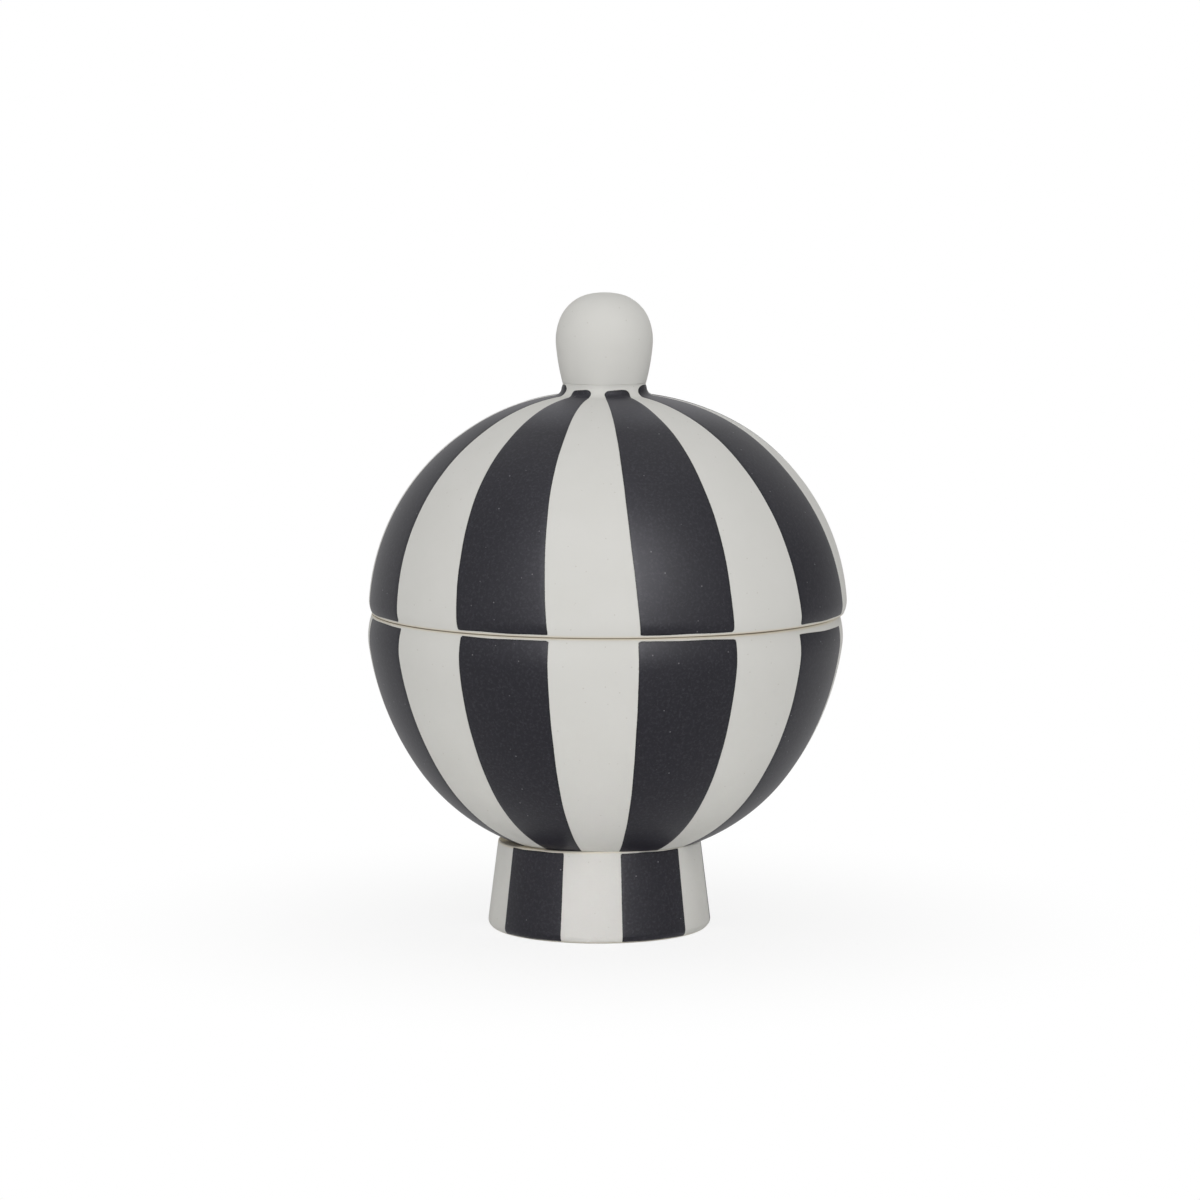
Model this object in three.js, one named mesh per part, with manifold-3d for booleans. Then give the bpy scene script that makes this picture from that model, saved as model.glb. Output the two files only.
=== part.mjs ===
// Footed candy box of matte ceramic: a round bowl on a flared ring foot, and a domed lid
// with an egg-shaped knob. Charcoal bands are painted on the bowl, the foot and the dome.
// Millimetres, +Z up. The origin is on the table, under the axis of the bowl.
import * as THREE from "three";
import { mergeVertices, toCreasedNormals } from "three/addons/utils/BufferGeometryUtils.js";
import Module from "manifold-3d";

const wasm = await Module();
wasm.setup();
const radians = THREE.MathUtils.degToRad;

// Walls and fits
const WALL = 5; // cast wall of the bowl and of the dome
const LUTE_GAP = 0.3; // layer of slip that joins the foot and the knob
const FLANGE_CLEARANCE = 1; // play of the lid's flange in the bowl's mouth

// Foot ring: its flared side is straight, and its top is cut to the bowl's underside
const FOOT_HEIGHT = 22;
const FOOT_BASE_RADIUS = 28.1;
const FOOT_TOP_RADIUS = 25.6;
const FOOT_WALL = 6;
const FOOT_LEDGE = 2.9; // flat ring left outside the bowl, on the foot's top
const FOOT_BASE_ROUND = 1.9;
const FOOT_TOP_ROUND = 0.8;

// Bowl: a flank arc that blends into a tighter belly arc, which runs out flat at the bottom
const BODY_RADIUS = 59.95;
const BOWL_HEIGHT = 61.25;
const BOWL_FLANK_ARC = 71.7;
const BOWL_FLANK_RISE = 2; // height of the flank arc's centre above the rim
const BOWL_BLEND_ANGLE = radians(35.2); // below the horizontal
const BOWL_LIP_HEIGHT = 6;
const RIM_LAND = 0.75; // flat ring that the lid rests on
const RIM_EASE = 0.6; // rounding of the mouth's inner edge

// Lid dome: one arc, a rolled lip, and a flange that drops into the bowl's mouth
const DOME_PROUD = 0.18; // how much wider than the bowl the dome is, all round
const DOME_ARC = 55.5;
const DOME_CENTRE_DROP = 0.6; // depth of the arc's centre below the rim
const DOME_LIP_HEIGHT = 4.2;
const DOME_LAND = 3.6; // flat ring between the flange and the rolled lip
const FLANGE_DEPTH = 6;
const FLANGE_WALL = 4;
const FLANGE_EASE = 1;
const SHELF_EASE = 2; // soft corner inside the dome, above the flange

// Knob: crown, belly and flank arcs that run into each other
const KNOB_RADIUS = 12.15;
const KNOB_BELLY_HEIGHT = 11; // above the knob's seat
const KNOB_BELLY_ARC = 14.1;
const KNOB_CROWN_ARC = 10.4;
const KNOB_CROWN_ANGLE = radians(23.6); // where the belly arc ends, above the horizontal
const KNOB_FLANK_ARC = 55.5;
const KNOB_FLANK_ANGLE = radians(5); // where the belly arc ends, below the horizontal
const NECK_FILLET = 2.5;
const NECK_FILLET_SWEEP = radians(50);

// Pieces as the hand set them, along X: no piece sits quite on the axis of the next
const FOOT_SHIFT = -1.6; // from the bowl's axis
const KNOB_SHIFT = -0.9; // from the dome's axis
const LID_LIE = 0.6; // share of the flange's play by which the lid lies off the bowl's axis

// Painted bands: each pair is a dark band and a light one, in these shares of the pitch
const DARK_SHARE = 5;
const LIGHT_SHARE = 4;
const BODY_PAIRS = 8;
const FOOT_PAIRS = 5;
const BODY_BAND_START = radians(7.5); // from the front, towards +X
const FOOT_BAND_START = radians(12);
const LIP_MARGIN = 0.9; // bare ceramic between a band's end and the edge of its piece
const FOOT_MARGIN = 0.5;

// Facets of the round forms
const FACET_SAG = 0.08; // how far a facet may stand off its arc
const LIP_STEPS = 4;
const EASE_STEPS = 2;
const PLAIN_SIDES = 48; // round an axis, where no bands are painted
const CREASE_ANGLE = radians(25);
const WELD = 0.001; // points nearer than this are one point

// Finish
const OFF_WHITE = new THREE.Color("#d9d7d0");
const CHARCOAL = new THREE.Color("#3a393e");
const MATTE_ROUGHNESS = 0.8;

// Places that follow from the sizes. The bowl sinks into the foot as far as the ledge lets it.
const BOWL_BOTTOM = FOOT_HEIGHT - bowlUnderside(FOOT_TOP_RADIUS - FOOT_LEDGE);
const RIM_HEIGHT = BOWL_BOTTOM + BOWL_HEIGHT;
const LID_SHIFT = LID_LIE * FLANGE_CLEARANCE;

// The dome's own frame has its height 0 at the rim that the lid rests on
const DOME_RADIUS = BODY_RADIUS + DOME_PROUD;
const DOME_CENTRE = at(DOME_RADIUS - DOME_ARC, -DOME_CENTRE_DROP);
const NECK_RADIUS = knobArcs().seatRadius;
const NECK_HEIGHT = domeHeight(NECK_RADIUS + NECK_FILLET, NECK_FILLET);

/** Points of an arc about (x, y), from one angle to another. */
function arc(x, y, radius, from, to) {
  const turn = 2 * Math.acos(1 - FACET_SAG / radius);
  const steps = Math.max(1, Math.ceil(Math.abs(to - from) / turn));
  return new THREE.EllipseCurve(x, y, radius, radius, from, to, to < from).getPoints(steps);
}

/** Points of a rolled edge: it leaves start towards corner and arrives at end from corner. */
function roll(start, corner, end, steps) {
  return new THREE.QuadraticBezierCurve(start, corner, end).getPoints(steps);
}

/** A point of a profile: distance from the axis, and height. */
function at(radius, height) {
  return new THREE.Vector2(radius, height);
}

/** Steepest angle of an arc about x that stays on one side of the axis. */
function poleAngle(x, radius) {
  return Math.acos(Math.max(0, -x / radius));
}

/** Body of revolution about Z from points in (radius, height), its first facet at an angle. */
function revolve(points, sides, start = 0) {
  const apart = points.filter((p, i) => i === 0 || p.distanceTo(points[i - 1]) > WELD);
  apart.forEach((p) => p.setX(Math.max(0, p.x)));
  return new THREE.LatheGeometry(apart, sides, start).rotateX(Math.PI / 2);
}

/** Closed solid of a geometry, moved along X. */
function solid(geometry, shift = 0) {
  const bare = geometry.clone().translate(shift, 0, 0);
  bare.deleteAttribute("normal");
  bare.deleteAttribute("uv");
  const welded = mergeVertices(bare, WELD);
  return new wasm.Manifold(
    new wasm.Mesh({
      numProp: 3,
      vertProperties: welded.attributes.position.array,
      triVerts: new Uint32Array(welded.index.array),
    }),
  );
}

/** Geometry of a closed solid. */
function geometryOf(body) {
  const { vertProperties, triVerts } = body.getMesh();
  return new THREE.BufferGeometry()
    .setAttribute("position", new THREE.BufferAttribute(vertProperties, 3))
    .setIndex(new THREE.BufferAttribute(triVerts, 1));
}

/** Arcs of the bowl in its own frame, whose height is 0 at the bowl's bottom. */
function bowlArcs() {
  const flank = at(BODY_RADIUS - BOWL_FLANK_ARC, BOWL_HEIGHT + BOWL_FLANK_RISE);
  const slant = Math.sin(BOWL_BLEND_ANGLE);
  const bellyArc = (flank.y - BOWL_FLANK_ARC * slant) / (1 - slant);
  const reach = BOWL_FLANK_ARC - bellyArc;
  const belly = at(flank.x + reach * Math.cos(BOWL_BLEND_ANGLE), flank.y - reach * slant);
  return { flank, belly, bellyArc };
}

/** Outline of the bowl from the axis up to a height, moved out by an offset. */
function bowlOutline(offset, height) {
  const { flank, belly, bellyArc } = bowlArcs();
  const bellyRadius = bellyArc + offset;
  const flankRadius = BOWL_FLANK_ARC + offset;
  const pole = -poleAngle(belly.x, bellyRadius);
  const end = Math.asin((height - flank.y) / flankRadius);
  return [
    at(0, belly.y + bellyRadius * Math.sin(pole)),
    ...arc(belly.x, belly.y, bellyRadius, pole, -BOWL_BLEND_ANGLE),
    ...arc(flank.x, flank.y, flankRadius, -BOWL_BLEND_ANGLE, end),
  ];
}

/** Height of the bowl's underside at a radius. */
function bowlUnderside(radius) {
  const { belly, bellyArc } = bowlArcs();
  return belly.y - Math.sqrt(bellyArc ** 2 - (radius - belly.x) ** 2);
}

/** Radius of the bowl's inner wall at a depth below the rim. */
function mouthRadius(depth) {
  const { flank } = bowlArcs();
  const rise = BOWL_FLANK_RISE + depth;
  return flank.x + Math.sqrt((BOWL_FLANK_ARC - WALL) ** 2 - rise ** 2);
}

/** Bowl: outer wall, rolled lip, flat land for the lid, and the inner wall back to the axis. */
function bowlGeometry() {
  const lipStart = BOWL_HEIGHT - BOWL_LIP_HEIGHT;
  const outer = bowlOutline(0, lipStart);
  const inner = bowlOutline(-WALL, BOWL_HEIGHT - RIM_EASE).reverse();
  const shoulder = outer.at(-1);
  const lean = (BOWL_FLANK_RISE + BOWL_LIP_HEIGHT) / BOWL_FLANK_ARC;
  const corner = at(shoulder.x + BOWL_LIP_HEIGHT * Math.tan(Math.asin(lean)), BOWL_HEIGHT);
  const mouth = at(mouthRadius(0), BOWL_HEIGHT);
  const land = at(mouth.x + RIM_EASE + RIM_LAND, BOWL_HEIGHT);
  const points = [
    ...outer,
    ...roll(shoulder, corner, land, LIP_STEPS),
    ...roll(at(mouth.x + RIM_EASE, mouth.y), mouth, inner[0], EASE_STEPS),
    ...inner,
  ];
  return revolve(points, BODY_PAIRS * (DARK_SHARE + LIGHT_SHARE), BODY_BAND_START);
}

/** Foot ring: a flared ring whose top is cut to the bowl's underside, a slip layer apart. */
function footGeometry() {
  const lean = Math.atan2(FOOT_BASE_RADIUS - FOOT_TOP_RADIUS, FOOT_HEIGHT);
  const base = at(FOOT_BASE_RADIUS - FOOT_BASE_ROUND, FOOT_BASE_ROUND);
  const top = at(FOOT_TOP_RADIUS - FOOT_TOP_ROUND, FOOT_HEIGHT - FOOT_TOP_ROUND);
  const points = [
    at(FOOT_BASE_RADIUS - FOOT_WALL, 0),
    ...arc(base.x, base.y, FOOT_BASE_ROUND, -Math.PI / 2, lean),
    ...arc(top.x, top.y, FOOT_TOP_ROUND, lean, Math.PI / 2),
    at(FOOT_TOP_RADIUS - FOOT_WALL, FOOT_HEIGHT),
    at(FOOT_BASE_RADIUS - FOOT_WALL, 0),
  ];
  const ring = revolve(points, FOOT_PAIRS * (DARK_SHARE + LIGHT_SHARE), FOOT_BAND_START);
  const outline = bowlOutline(LUTE_GAP, BOWL_HEIGHT - BOWL_LIP_HEIGHT);
  const plug = revolve([...outline, at(0, outline.at(-1).y)], PLAIN_SIDES);
  const seat = solid(plug.translate(0, 0, BOWL_BOTTOM), -FOOT_SHIFT);
  return geometryOf(solid(ring).subtract(seat));
}

/** Arcs of the knob in its own frame, whose height is 0 at the seat, and its seat's radius. */
function knobArcs() {
  const belly = at(KNOB_RADIUS - KNOB_BELLY_ARC, KNOB_BELLY_HEIGHT);
  const inset = KNOB_BELLY_ARC - KNOB_CROWN_ARC;
  const crown = at(
    belly.x + inset * Math.cos(KNOB_CROWN_ANGLE),
    belly.y + inset * Math.sin(KNOB_CROWN_ANGLE),
  );
  const outset = KNOB_FLANK_ARC - KNOB_BELLY_ARC;
  const flank = at(
    belly.x - outset * Math.cos(KNOB_FLANK_ANGLE),
    belly.y + outset * Math.sin(KNOB_FLANK_ANGLE),
  );
  const seatRadius = flank.x + Math.sqrt(KNOB_FLANK_ARC ** 2 - flank.y ** 2);
  return { belly, crown, flank, seatRadius };
}

/** Knob: a solid egg, narrow at its seat, widest above the middle and flat-crowned. */
function knobGeometry() {
  const { belly, crown, flank } = knobArcs();
  const pole = poleAngle(crown.x, KNOB_CROWN_ARC);
  const seatAngle = -Math.asin(flank.y / KNOB_FLANK_ARC);
  const points = [
    at(0, 0),
    ...arc(flank.x, flank.y, KNOB_FLANK_ARC, seatAngle, -KNOB_FLANK_ANGLE),
    ...arc(belly.x, belly.y, KNOB_BELLY_ARC, -KNOB_FLANK_ANGLE, KNOB_CROWN_ANGLE),
    ...arc(crown.x, crown.y, KNOB_CROWN_ARC, KNOB_CROWN_ANGLE, pole),
    at(0, crown.y + KNOB_CROWN_ARC * Math.sin(pole)),
  ];
  return revolve(points, PLAIN_SIDES);
}

/** Height of the dome's outside at a radius, moved out by an offset. */
function domeHeight(radius, offset) {
  return DOME_CENTRE.y + Math.sqrt((DOME_ARC + offset) ** 2 - (radius - DOME_CENTRE.x) ** 2);
}

/** Inside of the dome: the ceiling, a shelf above the rim, and the flange's inner side. */
function domeInside() {
  const radius = DOME_ARC - WALL;
  const pole = poleAngle(DOME_CENTRE.x, radius);
  const shelf = Math.asin((WALL + SHELF_EASE - DOME_CENTRE.y) / radius);
  const wall = arc(DOME_CENTRE.x, DOME_CENTRE.y, radius, pole, shelf);
  const foot = wall.at(-1);
  const flange = mouthRadius(0) - FLANGE_CLEARANCE - FLANGE_WALL;
  const flangeEnd = mouthRadius(FLANGE_DEPTH) - FLANGE_CLEARANCE - FLANGE_WALL;
  return [
    at(0, wall[0].y),
    ...wall,
    ...roll(foot, at(foot.x, WALL), at(foot.x - SHELF_EASE, WALL), EASE_STEPS),
    ...roll(at(flange + FLANGE_EASE, WALL), at(flange, WALL), at(flange, 0), EASE_STEPS),
    at(flangeEnd, -FLANGE_DEPTH),
  ];
}

/** Outside of the dome: the flange's outer side, the land, the rolled lip and the dome. */
function domeOutside() {
  const flange = mouthRadius(0) - FLANGE_CLEARANCE;
  const flangeEnd = mouthRadius(FLANGE_DEPTH) - FLANGE_CLEARANCE;
  const lipAngle = Math.asin((DOME_LIP_HEIGHT - DOME_CENTRE.y) / DOME_ARC);
  const pole = poleAngle(DOME_CENTRE.x, DOME_ARC);
  const wall = arc(DOME_CENTRE.x, DOME_CENTRE.y, DOME_ARC, lipAngle, pole);
  const corner = at(wall[0].x + DOME_LIP_HEIGHT * Math.tan(lipAngle), 0);
  const end = at(flangeEnd, -FLANGE_DEPTH);
  return [
    ...roll(at(end.x - FLANGE_EASE, end.y), end, at(end.x, end.y + FLANGE_EASE), EASE_STEPS),
    at(flange, 0),
    ...roll(at(flange + DOME_LAND, 0), corner, wall[0], LIP_STEPS),
    ...wall,
    at(0, wall.at(-1).y),
  ];
}

/** Lid dome: a cast shell of revolution, with the filleted neck that carries the knob. */
function domeGeometry() {
  const sides = BODY_PAIRS * (DARK_SHARE + LIGHT_SHARE);
  const shell = revolve([...domeInside(), ...domeOutside()], sides, BODY_BAND_START);
  const fillet = arc(
    NECK_RADIUS + NECK_FILLET,
    NECK_HEIGHT,
    NECK_FILLET,
    Math.PI + NECK_FILLET_SWEEP,
    Math.PI,
  );
  const root = domeHeight(fillet[0].x, -WALL / 2);
  const outline = [at(0, root), at(fillet[0].x, root), ...fillet, at(0, NECK_HEIGHT)];
  const neck = revolve(outline, PLAIN_SIDES);
  return geometryOf(solid(shell).add(solid(neck, KNOB_SHIFT)));
}

/** Colours of a banded piece, facet by facet: dark where a painted band covers its outside. */
function paintBands(geometry, { pairs, start, centre, low, high }) {
  const facets = geometry.index ? geometry.toNonIndexed() : geometry;
  const place = facets.attributes.position;
  const colours = new Float32Array(place.count * 3);
  const pitch = (2 * Math.PI) / pairs;
  const dark = (pitch * DARK_SHARE) / (DARK_SHARE + LIGHT_SHARE);
  const facet = new THREE.Triangle();
  const middle = new THREE.Vector3();
  const normal = new THREE.Vector3();
  for (let i = 0; i < place.count; i += 3) {
    facet.setFromAttributeAndIndices(place, i, i + 1, i + 2);
    facet.getMidpoint(middle);
    facet.getNormal(normal);
    const turn = Math.atan2(middle.x, -middle.y) - start;
    const inBand = THREE.MathUtils.euclideanModulo(turn, pitch) < dark;
    const inReach = middle.z > low && middle.z < high;
    const outside = normal.dot(middle.sub(centre)) > 0;
    const colour = inBand && inReach && outside ? CHARCOAL : OFF_WHITE;
    for (let k = i; k < i + 3; k++) colour.toArray(colours, 3 * k);
  }
  return facets.setAttribute("color", new THREE.BufferAttribute(colours, 3));
}

/** Named mesh of a piece, with smooth shading over its round stretches. */
function piece(name, geometry, finish) {
  const material = new THREE.MeshStandardMaterial({
    roughness: MATTE_ROUGHNESS,
    metalness: 0,
    ...finish,
  });
  const mesh = new THREE.Mesh(toCreasedNormals(geometry, CREASE_ANGLE), material);
  mesh.name = name;
  return mesh;
}

// Base: the bowl on its foot
const footRing = piece(
  "foot_ring",
  paintBands(footGeometry(), {
    pairs: FOOT_PAIRS,
    start: FOOT_BAND_START,
    centre: new THREE.Vector3(0, 0, FOOT_HEIGHT / 2),
    low: FOOT_MARGIN,
    high: FOOT_HEIGHT - FOOT_MARGIN,
  }),
  { vertexColors: true },
);
footRing.position.x = FOOT_SHIFT;

const bowl = piece(
  "bowl",
  paintBands(bowlGeometry(), {
    pairs: BODY_PAIRS,
    start: BODY_BAND_START,
    centre: new THREE.Vector3(0, 0, BOWL_HEIGHT),
    low: 0,
    high: BOWL_HEIGHT - LIP_MARGIN,
  }),
  { vertexColors: true },
);
bowl.position.z = BOWL_BOTTOM;

// Lid: the dome with its knob, which lifts off the rim along Z
const lidDome = piece(
  "lid_dome",
  paintBands(domeGeometry(), {
    pairs: BODY_PAIRS,
    start: BODY_BAND_START,
    centre: new THREE.Vector3(0, 0, 0),
    low: LIP_MARGIN,
    high: NECK_HEIGHT - LIP_MARGIN,
  }),
  { vertexColors: true },
);

const knob = piece("knob", knobGeometry(), { color: OFF_WHITE });
knob.position.set(KNOB_SHIFT, 0, NECK_HEIGHT + LUTE_GAP);

const lid = new THREE.Group();
lid.position.set(LID_SHIFT, 0, RIM_HEIGHT);
lid.add(lidDome, knob);

const candyBox = new THREE.Group();
candyBox.add(bowl, footRing, lid);

export default candyBox;
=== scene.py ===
"""A footed candy box of matte ceramic with painted bands, dressed for the studio.

Sizes are in millimetres unless a name says otherwise, and MM turns them to metres.
Azimuths are in degrees from the front, which is -Y, towards +X.
"""

import logging
from dataclasses import dataclass, field
from enum import Enum
from math import asin, atan2, ceil, cos, degrees, hypot, pi, radians, sin, sqrt, tan, tau
from typing import Any

import bmesh
import bpy
from bpy.types import Material, NodeOutputs, NodeSocket, NodeTree
from mathutils import Matrix, Vector


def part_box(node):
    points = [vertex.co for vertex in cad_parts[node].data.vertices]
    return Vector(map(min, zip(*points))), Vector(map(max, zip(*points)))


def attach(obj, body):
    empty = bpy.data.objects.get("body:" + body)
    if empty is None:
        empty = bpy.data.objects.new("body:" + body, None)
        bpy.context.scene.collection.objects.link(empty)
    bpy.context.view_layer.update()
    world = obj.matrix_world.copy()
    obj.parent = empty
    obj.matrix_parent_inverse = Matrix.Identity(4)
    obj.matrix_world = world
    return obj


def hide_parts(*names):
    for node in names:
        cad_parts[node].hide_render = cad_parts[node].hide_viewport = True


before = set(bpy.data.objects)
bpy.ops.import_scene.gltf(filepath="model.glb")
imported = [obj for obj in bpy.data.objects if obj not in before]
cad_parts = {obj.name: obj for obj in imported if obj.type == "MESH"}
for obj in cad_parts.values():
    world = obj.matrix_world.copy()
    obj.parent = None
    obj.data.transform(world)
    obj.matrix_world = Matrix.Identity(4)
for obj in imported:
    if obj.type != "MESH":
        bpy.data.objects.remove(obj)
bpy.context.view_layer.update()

MM = 0.001
LOG = logging.getLogger("candy_box")

COLUMNS = 480  # faces round each turned piece
SECTORS = 24  # equal sectors that the columns are spun in
WELD = 0.0001  # points nearer than this are one point
UNPAINTED = -50.0  # coat distance where no band comes near
RIPPLE = 0.5  # strength of the ripple on a band's wavering edge
SPECK_CORE = 0.556  # part of a speck's radius that has its full colour
WHITE = "#ffffff"
VIEW_HEIGHT = 82.74  # height that the camera and most lamps face

# Edges that each kind of round is drawn with, along a length of its radius
HIDDEN_ROUND, EDGE_ROUND, FOOT_ROUND, NECK_ROUND, LIP_ROUND = 4, 6, 8, 12, 20

# Sockets of the colour mix node, whose names repeat
MIX_FACTOR, MIX_A, MIX_B, MIX_COLOUR = 0, 6, 7, 2


class Body(Enum):
    """The rigid bodies of the frame."""

    BASE = "base"
    LID = "lid"


class Slot(Enum):
    """The record's finishes."""

    BANDED = "banded_ceramic"
    PLAIN = "plain_ceramic"


class Skin(Enum):
    """What covers a stretch of a piece's outline, as an index of its material slots."""

    OUTSIDE = 0
    BARE = 1
    GLAZED = 2


def linear(colour: str) -> tuple[float, float, float, float]:
    """Turns an sRGB hex colour to linear light.

    Args:
        colour: Six hex digits after a hash.

    Returns:
        Red, green and blue in linear light, and an alpha of 1.
    """
    parts = [int(colour[i : i + 2], 16) / 255 for i in (1, 3, 5)]
    red, green, blue = (p / 12.92 if p <= 0.04045 else ((p + 0.055) / 1.055) ** 2.4 for p in parts)
    return red, green, blue, 1.0


def per_metre(size: float) -> float:
    """Gives the texture scale that draws features of a size in millimetres."""
    return 1 / (size * MM)


def smooth_step(value: float, low: float, high: float) -> float:
    """Rises smoothly from 0 at low to 1 at high."""
    share = min(max((value - low) / (high - low), 0.0), 1.0)
    return share * share * (3 - 2 * share)


def direction(angle: float) -> Vector:
    """Gives the unit vector of an angle in degrees, in a half section of radius and height."""
    return Vector((cos(radians(angle)), sin(radians(angle))))


def rounded(first: float, second: float, corner: float) -> float:
    """Joins the distances inside two edges, with a round corner where they meet.

    Args:
        first: Distance inside the first edge, negative outside.
        second: Distance inside the second edge.
        corner: Radius of the corner.

    Returns:
        Distance inside the joined outline.
    """
    if min(first, second) >= corner:
        return min(first, second)
    return corner - hypot(max(corner - first, 0.0), max(corner - second, 0.0))


def add_node(
    tree: NodeTree, kind: str, inputs: dict[str | int, Any] | None = None, **settings: Any
) -> NodeOutputs:
    """Adds a node with its settings, and fills or links its inputs.

    Args:
        tree: The node tree.
        kind: Blender's name of the node type, after ShaderNode.
        inputs: A value to set or an output to link, for each input.
        settings: The node's own options.

    Returns:
        The new node's outputs.
    """
    node = tree.nodes.new("ShaderNode" + kind)
    for name, value in settings.items():
        setattr(node, name, value)
    for key, value in (inputs or {}).items():
        if isinstance(value, NodeSocket):
            tree.links.new(value, node.inputs[key])
        else:
            node.inputs[key].default_value = value
    return node.outputs


class Pen:
    """Draws the half section of a turned piece as one wire in the plane of X and Z.

    The wire runs anticlockwise round the material: out along the underside, up the outside,
    in along the top. Facing is the angle at which the surface looks out of the material.
    """

    def __init__(self, radius: float, height: float, facing: float) -> None:
        """Starts a wire.

        Args:
            radius: Distance of its first point from the axis.
            height: Height of its first point.
            facing: Angle of the surface there, in degrees.
        """
        self.mesh = bmesh.new()
        self.place = Vector((radius, height))
        self.facing = facing
        self.length = 0.0
        self.along = self.mesh.verts.layers.float.new("along")
        self.tip = self.mesh.verts.new((radius * MM, 0.0, height * MM))
        self.skins: list[tuple[float, Skin]] = []

    def set_tip(self, place: Vector) -> None:
        """Sets the wire's last point exactly, so that a point on the axis stays on it."""
        self.place = place
        self.tip.co = (place.x * MM, 0.0, place.y * MM)

    def cover(self, skin: Skin) -> None:
        """Says what covers the wire from here on."""
        self.skins.append((self.length, skin))

    def line(self, radius: float, height: float, step: float) -> None:
        """Draws a straight stretch to a point.

        Args:
            radius: Distance of the point from the axis.
            height: Its height.
            step: Longest edge of the stretch.
        """
        start, end = self.place, Vector((radius, height))
        way = end - start
        steps = max(1, ceil(way.length / step))
        for count in range(1, steps + 1):
            self.tip = bmesh.ops.extrude_vert_indiv(self.mesh, verts=[self.tip])["verts"][0]
            self.set_tip(start.lerp(end, count / steps))
            self.length += way.length / steps
            self.tip[self.along] = self.length
        self.facing = degrees(atan2(way.y, way.x)) - 90

    def arc(self, radius: float, facing: float, step: float) -> None:
        """Draws an arc that leaves the wire smoothly.

        Args:
            radius: Radius of the arc, negative where the surface is hollow.
            facing: Angle of the surface at the arc's end, in degrees.
            step: Longest edge of the arc.
        """
        centre = self.place - radius * direction(self.facing)
        turn = radians(facing - self.facing)
        steps = max(1, ceil(abs(radius * turn) / step))
        first = len(self.mesh.verts)
        pivot = {"cent": (centre.x * MM, 0.0, centre.y * MM), "axis": (0.0, -1.0, 0.0)}
        spun = bmesh.ops.spin(self.mesh, geom=[self.tip], angle=turn, steps=steps, **pivot)
        self.mesh.verts.ensure_lookup_table()
        for vertex in self.mesh.verts[first:]:
            self.length += abs(radius * turn) / steps
            vertex[self.along] = self.length
        self.tip = spun["geom_last"][0]
        self.set_tip(centre + radius * direction(facing))
        self.facing = facing

    def revolve(self) -> None:
        """Spins the wire to a closed skin: one sector first, which is then repeated round."""
        sector = tau / SECTORS
        shared = {"cent": (0.0, 0.0, 0.0), "axis": (0.0, 0.0, 1.0)}
        wire = self.mesh.verts[:] + self.mesh.edges[:]
        bmesh.ops.spin(self.mesh, geom=wire, angle=sector, steps=COLUMNS // SECTORS, **shared)
        skin = self.mesh.verts[:] + self.mesh.edges[:] + self.mesh.faces[:]
        shared.update(angle=tau - sector, steps=SECTORS - 1, use_duplicate=True)
        bmesh.ops.spin(self.mesh, geom=skin, **shared)
        bmesh.ops.remove_doubles(self.mesh, verts=self.mesh.verts, dist=WELD * MM)
        bmesh.ops.recalc_face_normals(self.mesh, faces=self.mesh.faces)
        for face in self.mesh.faces:
            middle = sum(v[self.along] for v in face.verts) / len(face.verts)
            face.material_index = [s for start, s in self.skins if start <= middle][-1].value
            face.smooth = True


@dataclass(frozen=True)
class Spot:
    """A point of a turned piece, before the hand has moved it."""

    azimuth: float
    radius: float
    height: float
    along: float  # way along the half section


@dataclass(frozen=True)
class Wave:
    """A wave in the ends of the bands, round a piece."""

    height: float
    count: int  # crests round the piece
    turn: float = 0.0  # its phase at the front, in degrees

    def at(self, azimuth: float) -> float:
        """Gives its height at an azimuth."""
        return self.height * sin(radians(self.count * azimuth + self.turn))


class Edge(Enum):
    """The long edges of a band, each with the numbers of its waver.

    They are the waver's turn from band to band and its start, in radians, then the pitch of
    the ripple on it and that ripple's turn from band to band.
    """

    START = (2.4, 0.0, 2.7, 1.0)
    END = (1.7, 2.0, 2.3, -1.0)


@dataclass(frozen=True)
class Stray:
    """An edge of a band that leaves its line, as a freehand edge does."""

    band: int  # number of the dark band
    edge: Edge
    width: float  # how far it strays in the end, away from the band
    height: float  # at which it starts to stray
    length: float = 30.0  # rise over which it strays


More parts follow.
